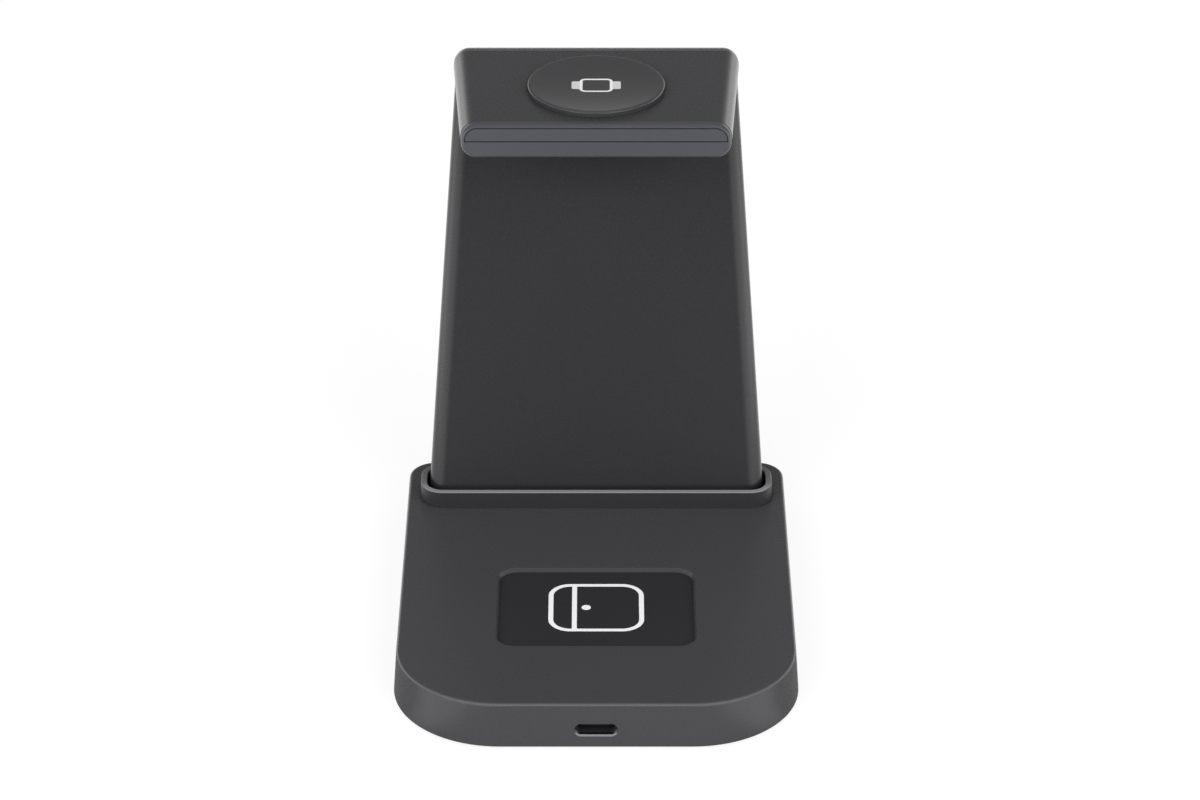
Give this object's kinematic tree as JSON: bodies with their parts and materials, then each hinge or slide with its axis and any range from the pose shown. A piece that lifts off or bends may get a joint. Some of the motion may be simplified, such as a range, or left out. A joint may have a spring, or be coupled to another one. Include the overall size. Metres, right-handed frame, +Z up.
{
  "type": "wireless charger",
  "caption": "Desk charging stand: a low base with a shallow earbud pad, a leaning phone panel and a deck with a round dished watch puck.",
  "frame": {"origin": "on the table, under the middle of the whole outline", "axes": "+Z up, the front with the earbud pad faces -Y, +X to the right as seen from the front"},
  "size_m": [0.09, 0.121, 0.1173],
  "materials": {
    "shell_plastic": "fine satin moulded",
    "panel_plastic": "fine satin moulded, a shade darker",
    "puck_plastic": "satin moulded",
    "cap_plastic": "satin moulded, faintly blue",
    "soft_pad": "soft matt silicone",
    "foot_rubber": "soft matt",
    "symbol_print": "matt white inlay",
    "copper_wire": null,
    "ferrite": "dull sintered",
    "flat_cable": "flat amber film",
    "chip_black": "matt",
    "circuit_board": "solder mask",
    "steel": "plated sheet"
  },
  "bodies": {
    "root": {"base_top_shell": "shell_plastic", "base_bottom_cover": "shell_plastic", "foot_front_left": "foot_rubber", "foot_front_right": "foot_rubber", "foot_rear_left": "foot_rubber", "foot_rear_right": "foot_rubber", "cover_screws": "steel", "ballast_plate": "steel", "collar_ring": "soft_pad", "earbud_pad": "soft_pad", "earbud_symbol": "symbol_print", "earbud_coil": "copper_wire", "earbud_ferrite": "ferrite", "main_board": "circuit_board", "port_receptacle": "steel", "port_tongue": "chip_black", "board_chips": "chip_black", "power_inductors": "ferrite", "board_screws": "steel", "stand_bracket": "steel", "bracket_screws": "steel", "stand_front_shell": "panel_plastic", "stand_rear_shell": "shell_plastic", "head_end_cap": "cap_plastic", "phone_coil_lower": "copper_wire", "phone_coil_upper": "copper_wire", "phone_ferrite": "ferrite", "coil_carrier": "shell_plastic", "carrier_screws": "steel", "stand_board": "circuit_board", "stand_board_chips": "chip_black", "base_cable": "flat_cable", "head_cable": "flat_cable", "watch_puck": "puck_plastic", "watch_symbol": "symbol_print", "watch_coil": "copper_wire", "watch_ferrite": "ferrite", "watch_magnet": "steel", "watch_board": "circuit_board", "watch_board_chips": "chip_black"}
  },
  "joints": []
}
